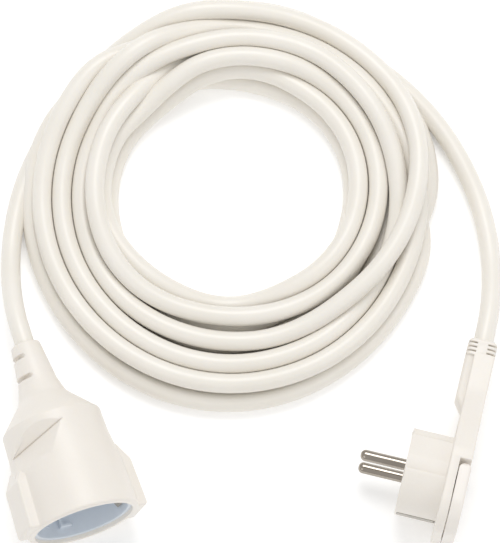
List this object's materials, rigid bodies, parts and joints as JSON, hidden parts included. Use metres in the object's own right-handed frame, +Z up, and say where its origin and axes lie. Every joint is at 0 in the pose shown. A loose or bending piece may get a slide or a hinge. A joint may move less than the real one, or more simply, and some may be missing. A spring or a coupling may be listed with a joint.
{
  "type": "extension cord",
  "caption": "Earthed mains extension lead: moulded coupling with a round socket, loose round coil of cable, flat angled plug with a fold-out pull handle.",
  "frame": {"origin": "on the surface it lies on, at the middle of the footprint of the coupling and the plug", "axes": "+Z up, +X from the coupling to the plug, +Y from them to the coil"},
  "size_m": [0.2154, 0.2437, 0.0488],
  "materials": {
    "moulding": "satin cream-white moulded PVC",
    "cable_sheath": "satin cream-white PVC sheath",
    "insert": "cool pale grey-blue hard plastic",
    "carrier": "hard off-white plastic",
    "handle": "satin cream-white hard plastic",
    "pin_nickel": "polished nickel-plated brass",
    "pin_steel": "plain steel",
    "spring_steel": "nickel-plated spring strip",
    "contact_brass": "brass",
    "core_brown": "brown PVC",
    "core_blue": "blue PVC",
    "core_green_yellow": "green and yellow PVC"
  },
  "bodies": {
    "root": {"coupling_housing": "moulding", "coupling_insert": "insert", "coupling_socket_floor": "insert", "coupling_contact_carrier": "carrier", "coupling_live_sleeve": "contact_brass", "coupling_neutral_sleeve": "contact_brass", "coupling_earth_spring": "spring_steel", "coupling_brown_core": "core_brown", "coupling_blue_core": "core_blue", "coupling_earth_core": "core_green_yellow", "coupling_crimps": "contact_brass", "plug_housing": "moulding", "plug_pin_carrier": "carrier", "plug_live_pin": "pin_nickel", "plug_neutral_pin": "pin_nickel", "plug_earth_strap": "spring_steel", "plug_earth_sleeve": "contact_brass", "plug_brown_core": "core_brown", "plug_blue_core": "core_blue", "plug_earth_core": "core_green_yellow", "plug_crimps": "contact_brass", "handle_hinge_pin": "pin_steel", "cord_coupling_side": "cable_sheath", "cord_plug_side": "cable_sheath", "cord_coil": "cable_sheath"},
    "handle": {"pull_handle": "handle"}
  },
  "joints": [
    {"name": "handle_hinge", "type": "hinge", "parent": "root", "child": "handle", "pos_m": [0.08779, -0.01755, 0.02079], "axis": [0.0146, 0.0593, 0.9981], "range_deg": [0, 100]}
  ]
}
